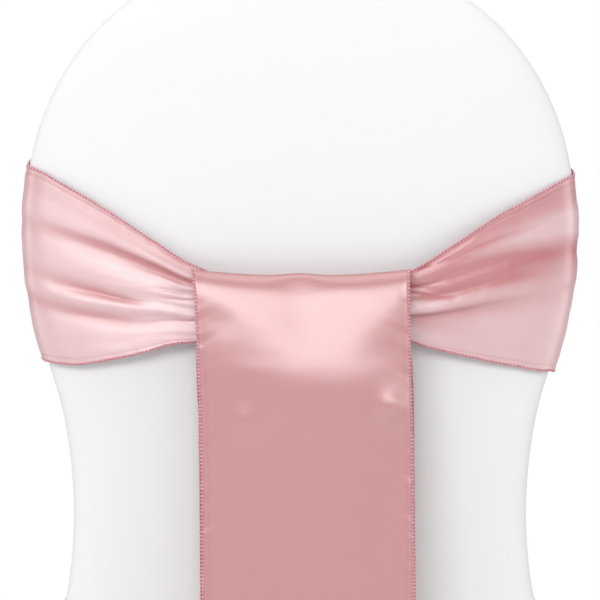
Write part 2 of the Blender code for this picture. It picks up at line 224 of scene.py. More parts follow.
def add_node(
    tree: bpy.types.NodeTree, kind: str, inputs: dict[str | int, Any] | None = None, **settings: Any
) -> bpy.types.NodeOutputs:
    """Add a node to a tree.

    Args:
        tree: The tree.
        kind: Type of the node.
        inputs: What it is fed.
        **settings: The node's own settings.

    Returns:
        The new node's outputs.
    """
    node = tree.nodes.new(kind)
    for name, value in settings.items():
        setattr(node, name, value)
    feed(node, inputs or {})
    return node.outputs


def add_sockets(tree: bpy.types.NodeTree, way: str, sockets: dict[str, str]) -> None:
    """Name a group's sockets.

    Args:
        tree: The group.
        way: INPUT or OUTPUT.
        sockets: Kind of each socket by its name, such as Float.
    """
    for name, kind in sockets.items():
        tree.interface.new_socket(name, in_out=way, socket_type=f"NodeSocket{kind}")


@dataclass(frozen=True)
class WaistLine:
    """Half width of the chair's back at one height."""

    height: float
    half_width: float


def stitch_line(edge: np.ndarray) -> np.ndarray:
    """How strongly the stitched line inside a hem shows, by the distance from the edge."""
    return np.exp(-(((edge - STITCH_INSET) / STITCH_WIDTH) ** 2))


@dataclass(frozen=True)
class BackForm:
    """Outer form of the chair's covered back, on which the sash lies."""

    bottom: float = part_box("chair_back")[0].z / MM
    crown: float = 940.0
    widest_height: float = 736.0
    half_width: float = 199.5
    half_depth: float = 24.0
    squareness: float = 3.2
    dome_squareness: float = 2.2
    rake: float = math.radians(6.0)
    seat_top: float = 460.0
    waist_y: float = -175.0
    waist: tuple[WaistLine, ...] = (
        WaistLine(398.0, 190.0),
        WaistLine(430.0, 183.0),
        WaistLine(470.0, 171.0),
        WaistLine(510.0, 165.5),
        WaistLine(554.0, 165.0),
        WaistLine(588.0, 168.5),
        WaistLine(610.0, 172.5),
        WaistLine(641.0, 181.5),
        WaistLine(664.0, 189.0),
        WaistLine(700.0, 196.8),
        WaistLine(736.0, 199.5),
    )

    def width_at(self, height: np.ndarray) -> np.ndarray:
        """Half width of the back.

        Args:
            height: Heights in millimetres.

        Returns:
            Half width at each height, in millimetres.
        """
        rise = np.clip((height - self.widest_height) / (self.crown - self.widest_height), 0.0, 1.0)
        dome = self.half_width * (1.0 - rise**self.dome_squareness) ** (1.0 / self.dome_squareness)
        waist = blend(self.waist, "height", "half_width", height)
        return np.where(height <= self.widest_height, waist, dome)

    def depth_at(self, height: np.ndarray) -> np.ndarray:
        """Half thickness at a height, in millimetres."""
        rise = np.clip((height - self.widest_height) / (self.crown - self.widest_height), 0.0, 1.0)
        return self.half_depth * np.sqrt(1.0 - rise**6)

    def middle_at(self, height: np.ndarray) -> np.ndarray:
        """Y of the middle of its thickness at a height, in millimetres."""
        return self.waist_y - math.tan(self.rake) * np.maximum(height - self.seat_top, 0.0)

    def section(self, turn: np.ndarray, height: np.ndarray, lift: np.ndarray) -> np.ndarray:
        """Points round the back.

        Args:
            turn: 0 at the middle of the outer face, 1 at a side, 2 at the middle of the
                seat's face; under 0 on the side with -X.
            height: Heights in millimetres.
            lift: Distances out from the cover.

        Returns:
            Points in millimetres, last axis 3.
        """
        angle = (np.abs(turn) - 1.0) * math.pi / 2
        hand = np.where(turn < 0.0, -1.0, 1.0)
        width, depth = self.width_at(height), self.depth_at(height)
        across = signed_power(np.cos(angle), 2.0 / self.squareness)
        out = signed_power(np.sin(angle), 2.0 / self.squareness)
        normal_x = signed_power(across, self.squareness - 1.0) / width
        normal_y = signed_power(out, self.squareness - 1.0) / depth
        length = np.hypot(normal_x, normal_y)
        x = hand * (across * width + lift * normal_x / length)
        y = out * depth + lift * normal_y / length + self.middle_at(height)
        return np.stack([x, y, height], axis=-1)

    def arc_table(self) -> tuple[np.ndarray, np.ndarray]:
        """Measure the way round the back at its widest.

        Returns:
            Turns from 0 to 2, and the length of cloth that reaches each of them.
        """
        turns = np.linspace(0.0, 2.0, 1601)
        flat = np.full_like(turns, self.widest_height)
        points = self.section(turns, flat, np.full_like(turns, 1.5))
        steps = np.linalg.norm(np.diff(points, axis=0), axis=1)
        return turns, np.concatenate([[0.0], np.cumsum(steps)])


@dataclass(frozen=True)
class Weave:
    """Node group that gives a cloth its fine threads and slight unevenness."""

    name: str = "fine weave"

    def group(self) -> bpy.types.NodeTree:
        """Build the group once, or find it.

        Returns:
            Group with inputs Vector, Threads, Unevenness and outputs Height and Shade.
        """
        found = bpy.data.node_groups.get(self.name)
        if found:
            return found
        tree = bpy.data.node_groups.new(self.name, "ShaderNodeTree")
        add = partial(add_node, tree)
        add_sockets(tree, "INPUT", {"Vector": "Vector", "Threads": "Float", "Unevenness": "Float"})
        add_sockets(tree, "OUTPUT", {"Height": "Float", "Shade": "Float"})
        entry = add("NodeGroupInput")
        fed = {"Distortion": 0.6, "Vector": entry["Vector"], "Scale": entry["Threads"]}
        wave = partial(add, "ShaderNodeTexWave", fed, wave_type="BANDS", wave_profile="SIN")
        warp, weft = (wave(bands_direction=direction)["Fac"] for direction in ("X", "Y"))
        cross = add("ShaderNodeMath", {0: warp, 1: 0.7, 2: weft}, operation="MULTIPLY_ADD")
        fed = {"Scale": 40.0, "Detail": 3.0, "Vector": entry["Vector"]}
        slub = add("ShaderNodeTexNoise", fed)
        centred = add("ShaderNodeMath", {0: slub["Fac"], 1: 0.5}, operation="SUBTRACT")
        fed = {0: centred[0], 1: entry["Unevenness"]}
        scaled = add("ShaderNodeMath", fed, operation="MULTIPLY")
        add("NodeGroupOutput", {"Height": cross[0], "Shade": scaled[0]})
        return tree


@dataclass(frozen=True)
class ClothFinish:
    """A woven or knitted cloth, with painted shade: a darker colour mixed in where a point
    attribute says, deepest in folds.
    """

    name: str
    colour: tuple[float, float, float]
    # Darker colour mixed in for painted shade, and a little through the random slub.
    shade_and_slub_colour: tuple[float, float, float]
    roughness: float
    specular: float
    sheen: float
    anisotropy: float
    metallic: float
    thread: float
    bump: float
    unevenness: float
    ior: float = 1.5
    coordinates: str = "UV"

    def build(self) -> bpy.types.Material:
        """Make the material.

        Returns:
            Principled material with a weave in its normal and colour.
        """
        made = bpy.data.materials.new(self.name)
        made.use_nodes = True
        add = partial(add_node, made.node_tree)
        shader = made.node_tree.nodes["Principled BSDF"]
        feed(
            shader,
            {
                "Roughness": self.roughness,
                "Specular IOR Level": self.specular,
                "Sheen Weight": self.sheen,
                "Sheen Roughness": 0.45,
                "Anisotropic": self.anisotropy,
                "Metallic": self.metallic,
                "IOR": self.ior,
            },
        )
        if self.anisotropy > 0.0:
            threads = add("ShaderNodeTangent", direction_type="UV_MAP", uv_map="cut")
            feed(shader, {"Tangent": threads["Tangent"], "Anisotropic Rotation": 0.25})
        fed = {
            "Threads": 2 * math.pi / (20.0 * self.thread * MM),
            "Unevenness": self.unevenness,
            "Vector": add("ShaderNodeTexCoord")[self.coordinates],
        }
        weave = add("ShaderNodeGroup", fed, node_tree=Weave().group())
        fed = {"Strength": self.bump, "Distance": 0.0002, "Height": weave["Height"]}
        bump = add("ShaderNodeBump", fed)
        # Painted shade: the point attribute mixes the colour toward the darker one, deepest in
        # folds, hem grooves and puckers; the weave adds random slub to it.
        depth = add("ShaderNodeAttribute", attribute_name="crease")
        fed = {0: depth["Fac"], 1: weave["Shade"]}
        shade = add("ShaderNodeMath", fed, operation="ADD", use_clamp=True)
        fed = {"A": (*self.colour, 1.0), "B": (*self.shade_and_slub_colour, 1.0), "Factor": shade[0]}
        tint = add("ShaderNodeMix", fed, data_type="RGBA")
        feed(shader, {"Normal": bump["Normal"], "Base Color": tint["Result"]})
        return made


@dataclass(frozen=True)
class SteelFinish:
    """Painted steel of the chair's feet."""

    name: str = "painted steel"
    colour: tuple[float, float, float] = (0.55, 0.55, 0.56)

    def build(self) -> bpy.types.Material:
        """Make the material with a faintly uneven paint.

        Returns:
            Principled material whose roughness has a fine grain.
        """
        made = bpy.data.materials.new(self.name)
        made.use_nodes = True
        add = partial(add_node, made.node_tree)
        place = add("ShaderNodeTexCoord")
        grain = add("ShaderNodeTexNoise", {"Scale": 900.0, "Vector": place["Object"]})
        fed = {"To Min": 0.38, "To Max": 0.52, "Value": grain["Fac"]}
        span = add("ShaderNodeMapRange", fed)
        fed = {"Base Color": (*self.colour, 1.0), "Roughness": span["Result"]}
        feed(made.node_tree.nodes["Principled BSDF"], fed)
        return made


# Rose satin of the knot and tails; its darker colour is painted shade in the tails' puckers and hem
# grooves.
SATIN = ClothFinish(
    name="rose satin",
    colour=(0.50, 0.157, 0.164),
    shade_and_slub_colour=(0.48, 0.11, 0.13),
    roughness=0.45,
    specular=1.0,
    sheen=0.05,
    anisotropy=0.7,
    metallic=0.04,
    ior=2.12,
    thread=0.55,
    bump=0.10,
    unevenness=0.25,
)
# Satin of the wrap round the back: the same rose satin with a lighter colour as painted light, and
# a deeper colour for painted shade in its folds.
SATIN_PAINTED_LIGHTER = replace(
    SATIN,
    name="rose satin painted lighter",
    colour=(0.70, 0.418, 0.438),
    shade_and_slub_colour=(0.47, 0.072, 0.085),
)
# Overlock thread; its darker colour is painted shade, in full on the core cord and at random on the
# loops.
THREAD = ClothFinish(
    name="overlock thread",
    colour=(0.80, 0.50, 0.53),
    shade_and_slub_colour=(0.50, 0.19, 0.23),
    roughness=0.55,
    specular=0.4,
    sheen=0.1,
    anisotropy=0.0,
    metallic=0.0,
    thread=0.5,
    bump=0.2,
    unevenness=0.6,
    coordinates="Object",
)
STRETCH = ClothFinish(
    name="white stretch knit",
    colour=(0.81, 0.81, 0.815),
    shade_and_slub_colour=(0.80, 0.80, 0.81),
    roughness=0.8,
    specular=0.25,
    sheen=0.15,
    anisotropy=0.0,
    metallic=0.0,
    thread=1.1,
    bump=0.1,
    unevenness=0.15,
    coordinates="Object",
)


def add_object(name: str, mesh: bpy.types.Mesh, finish: bpy.types.Material) -> bpy.types.Object:
    """Link a new object with one material to the scene.

    Args:
        name: The object's name.
        mesh: Its mesh.
        finish: Its only material.

    Returns:
        The new object.
    """
    made = bpy.data.objects.new(name, mesh)
    bpy.context.scene.collection.objects.link(made)
    mesh.materials.clear()
    mesh.materials.append(finish)
    return made


def grid_faces(columns: int, rows: int, closed: bool = False) -> list[tuple[int, int, int, int]]:
    """Quads of a grid of points.

    Args:
        columns: Number of columns of points.
        rows: Number of points in each column.
        closed: Whether the last column joins the first.

    Returns:
        Corner numbers of each quad.
    """
    faces = []
    for column in range(columns if closed else columns - 1):
        here, beside = column * rows, (column + 1) % columns * rows
        for row in range(rows - 1):
            faces.append((here + row, beside + row, beside + row + 1, here + row + 1))
    return faces


def cloth_mesh(
    name: str, points: np.ndarray, places: np.ndarray, crease: np.ndarray
) -> bpy.types.Mesh:
    """Open smooth mesh through a grid of points.

    Args:
        name: Name of the mesh.
        points: Points in millimetres, of shape (columns, rows, 3).
        places: Where each point lies on the flat cut, in millimetres, last axis 2.
        crease: Painted shade at each point, deepest in folds, from 0 to 1.

    Returns:
        Mesh in metres, with the cut as its UV map and the painted shade as an attribute.
    """
    columns, rows = points.shape[:2]
    mesh = bpy.data.meshes.new(name)
    faces = grid_faces(columns, rows)
    mesh.from_pydata((points.reshape(-1, 3) * MM).tolist(), [], faces)
    mesh.shade_smooth()
    layer = mesh.uv_layers.new(name="cut")
    corners = np.array(faces).reshape(-1)
    layer.uv.foreach_set("vector", (places.reshape(-1, 2)[corners] * MM).reshape(-1))
    # Painted shade kept as a point attribute, which the cloth's material turns into a darker
    # colour.
    attribute = mesh.attributes.new("crease", "FLOAT", "POINT")
    attribute.data.foreach_set("value", np.clip(crease, 0.0, 1.0).reshape(-1))
    return mesh


def give_wall(made: bpy.types.Object, wall: float, offset: float = 0.0) -> None:
    """Give an open cloth its thickness, and apply it.

    Args:
        made: The cloth's object.
        wall: Thickness in millimetres.
        offset: Side on which the wall grows, 0 for both alike.
    """
    solidify = made.modifiers.new("wall", "SOLIDIFY")
    solidify.thickness = wall * MM
    solidify.offset = offset
    solidify.use_rim = True
    apply_modifiers(made)


def apply_modifiers(made: bpy.types.Object) -> None:
    """Replace an object's mesh by its evaluated one, and drop the modifiers.

    Args:
        made: The object.
    """
    graph = bpy.context.evaluated_depsgraph_get()
    old = made.data
    made.data = bpy.data.meshes.new_from_object(made.evaluated_get(graph))
    made.modifiers.clear()
    if old.users == 0:
        bpy.data.meshes.remove(old)


@dataclass
class Overlock:
    """Rolled hem with thread loops over it, laid along the edges of a cloth."""

    pitch: float = 2.6
    loop_length: float = 2.8
    loop_width: float = 1.7
    loop_thickness: float = 1.9
    cord: float = 0.85
    seed: int = 7
    finish: bpy.types.Material | None = None

    def tree(self) -> bpy.types.NodeTree:
        """Build the Geometry Nodes tree once, or find it.

        Returns:
            Tree that turns edge lines with a facing attribute into the finished hem.
        """
        found = bpy.data.node_groups.get("overlocked hem")
        if found:
            return found
        tree = bpy.data.node_groups.new("overlocked hem", "GeometryNodeTree")
        sizes = ("Pitch", "Loop Length", "Loop Width", "Loop Thickness", "Cord Radius")
        add_sockets(tree, "INPUT", {"Geometry": "Geometry"})
        add_sockets(tree, "INPUT", dict.fromkeys(sizes, "Float"))
        add_sockets(tree, "INPUT", {"Seed": "Int", "Thread": "Material"})
        add_sockets(tree, "OUTPUT", {"Geometry": "Geometry"})
        add = partial(add_node, tree)
        entry = add("NodeGroupInput")
        line = add("GeometryNodeMeshToCurve", {"Mesh": entry["Geometry"]})["Curve"]
        fed = {"Curve": line, "Length": entry["Pitch"]}
        spaced = add("GeometryNodeCurveToPoints", fed, mode="LENGTH")
        fed = {"Name": "facing"}
        facing = add("GeometryNodeInputNamedAttribute", fed, data_type="FLOAT_VECTOR")
        turn = partial(add, "FunctionNodeAlignRotationToVector")
        ahead = turn({"Vector": spaced["Tangent"]}, axis="X")
        fed = {"Rotation": ahead["Rotation"], "Vector": facing["Attribute"]}
        upright = turn(fed, axis="Z", pivot_axis="X")
        sides = zip("XYZ", ("Loop Width", "Loop Length", "Loop Thickness"))
        size = add("ShaderNodeCombineXYZ", {side: entry[name] for side, name in sides})
        # Each loop gets a random size and a random share of painted shade.
        uneven, dark = (
            add(
                "FunctionNodeRandomValue",
                {"Min": least, "Max": most, "Seed": entry["Seed"]},
                data_type="FLOAT",
            )["Value"]
            for least, most in ((0.82, 1.08), (0.0, 0.45))
        )
        fed = {"Vector": size["Vector"], "Scale": uneven}
        scaled = add("ShaderNodeVectorMath", fed, operation="SCALE")
        bead = add("GeometryNodeMeshUVSphere", {"Segments": 8, "Rings": 5, "Radius": 0.5})
        fed = {
            "Points": spaced["Points"],
            "Instance": bead["Mesh"],
            "Rotation": upright["Rotation"],
            "Scale": scaled["Vector"],
        }
        loops = add("GeometryNodeInstanceOnPoints", fed)
        fed = {"Resolution": 8, "Radius": entry["Cord Radius"]}
        ring = add("GeometryNodeCurvePrimitiveCircle", fed)
        fed = {"Fill Caps": True, "Curve": line, "Profile Curve": ring["Curve"]}
        core = add("GeometryNodeCurveToMesh", fed)
        both = tree.nodes.new("GeometryNodeJoinGeometry")
        # Painted shade: the core cord between the loops in full, and each loop its random share.
        for domain, part, depth in (
            ("POINT", core["Mesh"], 1.0),
            ("INSTANCE", loops["Instances"], dark),
        ):
            fed = {"Name": "crease", "Geometry": part, "Value": depth}
            kind = "GeometryNodeStoreNamedAttribute"
            tinted = add(kind, fed, data_type="FLOAT", domain=domain)
            feed(both, {"Geometry": tinted["Geometry"]})
        last = both.outputs
        for kind in ("GeometryNodeRealizeInstances", "GeometryNodeSetShadeSmooth"):
            last = add(kind, {"Geometry": last["Geometry"]})
        fed = {"Geometry": last["Geometry"], "Material": entry["Thread"]}
        dress = add("GeometryNodeSetMaterial", fed)
        add("NodeGroupOutput", {"Geometry": dress["Geometry"]})
        return tree

    def sew(self, name: str, edges: Sequence[tuple[np.ndarray, np.ndarray]]) -> bpy.types.Object:
        """Sew the hem along some edges.

        Args:
            name: Name of the finished piece.
            edges: For each edge, its points and the cloth's facing there, in millimetres.

        Returns:
            Plain mesh object with the rolled hem and its loops.
        """
        points, lines, facing = [], [], []
        for path, normals in edges:
            start = len(points)
            points += (path * MM).tolist()
            facing += normals.tolist()
            lines += [(start + i, start + i + 1) for i in range(len(path) - 1)]
        mesh = bpy.data.meshes.new(name)
        mesh.from_pydata(points, lines, [])
        attribute = mesh.attributes.new("facing", "FLOAT_VECTOR", "POINT")
        attribute.data.foreach_set("vector", np.array(facing).reshape(-1))
        guide = bpy.data.objects.new(name, mesh)
        bpy.context.scene.collection.objects.link(guide)
        modifier = guide.modifiers.new("overlock", "NODES")
        modifier.node_group = self.tree()
        sizes = {
            "Pitch": self.pitch * MM,
            "Loop Length": self.loop_length * MM,
            "Loop Width": self.loop_width * MM,
            "Loop Thickness": self.loop_thickness * MM,
            "Cord Radius": self.cord * MM,
            "Seed": self.seed,
            "Thread": self.finish,
        }
        for item in modifier.node_group.interface.items_tree:
            if item.in_out == "INPUT" and item.name in sizes:
                modifier[item.identifier] = sizes[item.name]
        apply_modifiers(guide)
        return guide


def grid_normals(points: np.ndarray) -> np.ndarray:
    """Normals of a cloth.

    Args:
        points: Grid of points, last axis 3.

    Returns:
        Unit normal at each point, of the same shape.
    """
    along = np.gradient(points, axis=0)
    across = np.gradient(points, axis=1)
    normals = np.cross(along, across)
    return normals / np.maximum(np.linalg.norm(normals, axis=-1, keepdims=True), 1e-9)


@dataclass
class SashWrap:
    """The sash where it lies on the chair, from the knot round the back and home again.

    The cloth is nowhere nearer to the cover than its least distance, its lower hem leans
    out beside the knot, and the gathers die out over the length called near.
    """

    form: BackForm
    start: float = 31.5
    width: float = 152.0
    wall: float = 0.7
    rows: int = 100
    nearest: float = 1.2
    lean: float = 4.5
    near: float = 90.0
    ripple: Waves = Waves(5.0, 400.0, 9.7, 0.15, 0.35)
    hem_wander: Waves = Waves(9.0, 300.0, 2.2, 0.5)
    left: tuple[Hems, ...] = (
        Hems(30.0, 697.5, 669.0, 9.0),
        Hems(52.0, 705.0, 664.5, 8.5),
        Hems(79.0, 714.5, 659.5, 7.5),
        Hems(94.0, 723.5, 658.0, 6.7),
        Hems(105.0, 731.0, 655.7, 6.0),
        Hems(125.0, 744.5, 650.7, 4.8),
        Hems(153.0, 761.5, 645.6, 3.6),
        Hems(180.0, 776.5, 642.8, 2.5),
        Hems(192.0, 782.5, 644.2, 2.0),
        Hems(199.5, 787.0, 648.0, 1.6),
    )
    right: tuple[Hems, ...] = (
        Hems(30.0, 697.0, 669.0, 9.0),
        Hems(52.0, 702.0, 665.5, 8.5),
        Hems(83.0, 710.8, 659.5, 7.4),
        Hems(104.0, 724.0, 654.2, 6.1),
        Hems(127.0, 739.5, 649.3, 4.7),
        Hems(151.0, 754.0, 644.6, 3.6),
        Hems(172.0, 764.8, 641.2, 2.9),
        Hems(189.0, 774.0, 638.7, 2.3),
        Hems(199.5, 780.5, 638.0, 1.7),
    )
    far: tuple[Hems, ...] = (
        Hems(-188.0, 796.0, 653.0, 1.7),
        Hems(-120.0, 799.0, 652.0, 1.8),
        Hems(0.0, 800.0, 650.0, 1.6),
        Hems(120.0, 796.0, 646.0, 1.8),
        Hems(188.0, 790.0, 641.0, 1.7),
    )
    left_folds: tuple[Fold, ...] = (
        Fold(0.0, 60.0, 150.0, 0.95, 0.92, 1.0, 0.05),
        Fold(-40.0, 60.0, 300.0, 0.98, 0.95, 0.0, 0.13, tone=0.6),
        Fold(0.0, 95.0, 232.0, 0.86, 0.745, 2.6, 0.08, FoldShape.LAP),
        Fold(20.0, 110.0, 250.0, 0.76, 0.69, -1.4, 0.05, tone=0.55),
        Fold(40.0, 92.0, 140.0, 0.76, 0.67, -0.6, 0.035, FoldShape.SHARP, tone=0.7),
        Fold(30.0, 80.0, 125.0, 0.77, 0.49, -1.5, 0.022, FoldShape.SHARP, tone=0.15),
        Fold(30.0, 75.0, 112.0, 0.66, 0.44, -1.5, 0.022, FoldShape.SHARP, tone=0.2),
        Fold(0.0, 110.0, 240.0, 0.47, 0.57, 1.5, 0.08, tone=0.2),
        Fold(104.0, 132.0, 200.0, 0.385, 0.46, -1.8, 0.03, tone=0.8),
        Fold(112.0, 150.0, 245.0, 0.40, 0.52, -1.2, 0.05, tone=0.4),
        Fold(0.0, 120.0, 240.0, 0.30, 0.40, 2.6, 0.055),
        Fold(92.0, 148.0, 250.0, 0.20, 0.39, -1.8, 0.045, tone=0.75),
        Fold(30.0, 82.0, 130.0, 0.30, 0.22, -1.0, 0.03, FoldShape.SHARP, tone=0.3),
        Fold(0.0, 65.0, 120.0, 0.20, 0.20, -1.0, 0.05, tone=0.2),
        Fold(20.0, 79.0, 118.0, 0.08, 0.06, 0.0, 0.09, tone=0.55),
        Fold(40.0, 150.0, 265.0, 0.0, 0.0, 3.2, 0.20),
    )
    right_folds: tuple[Fold, ...] = (
        Fold(40.0, 92.0, 150.0, 1.0, 0.94, -1.0, 0.03, FoldShape.SHARP, tone=0.4),
        Fold(60.0, 100.0, 130.0, 0.95, 0.92, 0.7, 0.02),
        Fold(20.0, 110.0, 380.0, 0.98, 0.88, 0.0, 0.12, tone=0.8),
        Fold(30.0, 120.0, 200.0, 0.90, 0.80, 0.9, 0.06),
        Fold(60.0, 92.0, 135.0, 1.115, 0.74, -1.0, 0.022, FoldShape.SHARP, tone=0.6),
        Fold(95.0, 125.0, 235.0, 0.875, 0.77, -0.8, 0.026, FoldShape.SHARP, tone=0.45),
        Fold(20.0, 84.0, 180.0, 0.82, 0.80, 0.0, 0.15, tone=0.6),
        Fold(110.0, 198.0, 300.0, 0.85, 0.70, 0.3, 0.05, tone=-0.75),
        Fold(-60.0, 110.0, 340.0, 0.75, 0.51, 0.0, 0.13, tone=0.7),
        Fold(50.0, 95.0, 150.0, 0.845, 0.575, -1.0, 0.025, FoldShape.SHARP, tone=0.5),
        Fold(30.0, 115.0, 360.0, 0.77, 0.50, -1.4, 0.055, tone=0.6),
        Fold(20.0, 90.0, 122.0, 1.186, 0.45, -2.0, 0.055, tone=0.9),
        Fold(40.0, 88.0, 130.0, 0.93, 0.44, 0.0, 0.06, tone=0.8),
        Fold(70.0, 112.0, 200.0, 0.56, 0.53, -1.6, 0.045, tone=1.0),
        Fold(40.0, 92.0, 175.0, 0.70, 0.60, 0.0, 0.09, tone=0.7),
        Fold(55.0, 98.0, 190.0, 0.77, 0.70, 3.2, 0.23, FoldShape.STEP),
        Fold(30.0, 84.0, 118.0, 1.09, 0.43, -0.8, 0.02, FoldShape.SHARP, tone=0.5),
        Fold(0.0, 85.0, 245.0, 0.34, 0.50, 3.0, 0.12, FoldShape.LAP),
        Fold(-60.0, 60.0, 235.0, 0.27, 0.49, 3.0, 0.04, FoldShape.STEP),
        Fold(-40.0, 70.0, 150.0, 0.24, 0.26, 0.0, 0.09, tone=0.55),
        Fold(0.0, 60.0, 140.0, 0.18, 0.12, 1.0, 0.09),
        Fold(150.0, 205.0, 250.0, 0.95, 0.88, -1.0, 0.05),
        Fold(150.0, 208.0, 270.0, 0.0, 0.0, 2.4, 0.22),
    )
    far_folds: tuple[Fold, ...] = (
        Fold(205.0, 290.0, 470.0, 0.70, 0.80, 2.0, 0.06),
        Fold(200.0, 300.0, 430.0, 0.52, 0.60, 1.6, 0.045, tone=-0.1),
        Fold(200.0, 320.0, 560.0, 0.28, 0.40, 2.2, 0.07),
        Fold(215.0, 300.0, 470.0, 0.40, 0.50, 0.0, 0.05, tone=0.3),
        Fold(230.0, 280.0, 380.0, 0.14, 0.20, 1.4, 0.05),
        Fold(330.0, 420.0, 530.0, 0.50, 0.54, 1.3, 0.05),
        Fold(400.0, 560.0, 636.0, 0.66, 0.60, 2.0, 0.06),
        Fold(430.0, 580.0, 640.0, 0.76, 0.70, 0.0, 0.045, tone=0.3),
        Fold(450.0, 570.0, 636.0, 0.84, 0.78, 1.5, 0.045),
        Fold(380.0, 540.0, 636.0, 0.22, 0.36, 1.8, 0.055),
        Fold(440.0, 570.0, 640.0, 0.33, 0.46, 0.0, 0.04, tone=0.25),
    )
    waves: tuple[Waves, ...] = (
        Waves(70.0, 16.0, 1.3, 0.35, 1.1),
        Waves(26.0, 7.0, 5.1, 0.1, 0.5),
    )
    turns: np.ndarray = field(init=False)
    arcs: np.ndarray = field(init=False)

    def __post_init__(self) -> None:
        """Measure the way round the back."""
        self.turns, self.arcs = self.form.arc_table()

    @property
    def length(self) -> float:
        """Length of the whole way round, in millimetres."""
        return 2.0 * float(self.arcs[-1])

    def arc_of(self, across: float) -> float:
        """Length of cloth from the knot's middle.

        Args:
            across: Distance from the chair's middle line, in millimetres.

        Returns:
            Length of cloth that reaches it, in millimetres.
        """
        share = min(abs(across) / self.form.half_width, 1.0)
        turn = math.asin(share ** (self.form.squareness / 2)) * 2 / math.pi
        return float(np.interp(turn, self.turns, self.arcs))

    def hem_rows(self) -> list[Hems]:
        """Put the three tables of hems into one.

        Returns:
            Hems by length, from the knot's middle round to it again.
        """
        half = self.length / 2
        rows = [replace(row, along=self.arc_of(row.along)) for row in self.left]
        for row in self.far:
            from_far_middle = half - (2 * self.arc_side() - self.arc_of(row.along))
            place = half + math.copysign(from_far_middle, row.along)
            rows.append(replace(row, along=half if row.along == 0.0 else place))
        for row in reversed(self.right):
            rows.append(replace(row, along=self.length - self.arc_of(row.along)))
        return rows

    def arc_side(self) -> float:
        """Length of cloth from the knot's middle to the middle of a side."""
        return float(np.interp(1.0, self.turns, self.arcs))

    def columns(self) -> np.ndarray:
        """Space the columns of points, closest beside the knot.

        Returns:
            Lengths along the cloth, in millimetres.
        """
        fine = np.arange(self.start, 150.0, 1.25)
        middling = np.arange(150.0, 250.0, 2.0)
        coarse = np.linspace(250.0, self.length - 250.0, 90)
        far_side = self.length - np.concatenate([fine, middling])
        return np.concatenate([fine, middling, coarse, far_side[::-1]])

    def fold_field(
        self, folds: Sequence[Fold], along: np.ndarray, share: np.ndarray
    ) -> tuple[np.ndarray, np.ndarray]:
        """Height of the folds and the painted shade along them.

        Args:
            folds: The folds that run here.
            along: Length along the cloth of each place.
            share: Share of the width of each place.

        Returns:
            Height in millimetres, and the painted shade, darkest in the creases.
        """
        height = np.zeros_like(along)
        depth = np.zeros_like(along)
        for fold in folds:
            rise = smooth_step((along - fold.begin) / (fold.peak - fold.begin))
            fall = smooth_step((fold.end - along) / (fold.end - fold.peak))
            run = np.clip((along - fold.begin) / (fold.end - fold.begin), 0.0, 1.0)
            line = fold.begin_share + (fold.end_share - fold.begin_share) * run
            away = (share - line) / fold.width
            swell = rise * fall
            if fold.shape is FoldShape.SOFT:
                profile = np.exp(-(away**2))
            elif fold.shape is FoldShape.SHARP:
                profile = np.exp(0.3 - np.sqrt(away**2 + 0.09))
            elif fold.shape is FoldShape.STEP:
                profile = smooth_step(away + 1.0)
            else:
                spread = np.where(away > 0.0, 1.7, 0.3)
                profile = np.exp(-((away / spread) ** 2))
                under = np.exp(-(((away + 0.45) / 0.5) ** 2))
                # Painted shade under the edge of a fold that lies over the cloth below.
                depth += 0.8 * swell * under * fold.height / 3.4
            height += fold.height * swell * profile
            # Painted shade along the fold by its weight; a weight under 0 takes painted shade away,
            # which paints light.
            depth += fold.tone * swell * np.exp(-(away**2))
        return height, depth

    def surface(self) -> tuple[np.ndarray, np.ndarray, np.ndarray]:
        """Work out the cloth.

        Returns:
            Points in millimetres, places on the flat cut, and painted shade, deepest in creases.
        """
        places = self.columns()
        shares = np.linspace(0.0, 1.0, self.rows + 1)
        along, share = np.meshgrid(places, shares, indexing="ij")
        rows = self.hem_rows()
        top, bottom, lift = (blend(rows, "along", c, along) for c in ("top", "bottom", "lift"))
        back = self.length - along
        height = np.zeros_like(along)
        # Painted shade of the cloth, summed from the folds, the stitched grooves and the ripples.
        crease = np.zeros_like(along)
        for folds, where in (
            (self.left_folds, along),
            (self.right_folds, back),
            (self.far_folds, along),
        ):
            added, depth = self.fold_field(folds, where, share)
            height += added
            crease += depth
        spot = np.stack([along, share * self.width], axis=-1)
        nearness = np.exp(-np.minimum(along, back) / self.near)
        for wave in self.waves:
            height += wave.over(spot) * wave.strength(nearness)
        edge = np.minimum(share, 1.0 - share) * self.width
        ripple = self.ripple.over(spot) * np.exp(-edge / 5.0)
        tight = np.where(share < 0.5, np.exp(-np.maximum(along - 80.0, 0.0) / 25.0), 0.0)
        height += ripple * (self.ripple.strength(nearness) + 1.6 * tight)
        stitches = stitch_line(edge)
        height -= 0.3 * stitches
        # Painted shade in the stitched groove inside each hem and in the ripples by the hems,
        # lighter on their crests.
        crease += 0.3 * stitches + 0.15 * ripple
        from_side = self.arc_side() - np.minimum(along, back)
        lean = self.lean * (1.0 - share) * smooth_step(from_side / 120.0)
        lift = np.maximum(lift + lean + height, self.nearest)
        wander = self.hem_wander.over(spot) * self.hem_wander.height
        z = bottom + (top - bottom) * share + wander
        turn = np.where(
            along <= self.length / 2,
            -np.interp(along, self.arcs, self.turns),
            np.interp(back, self.arcs, self.turns),
        )
        return self.form.section(turn, z, lift), spot, crease

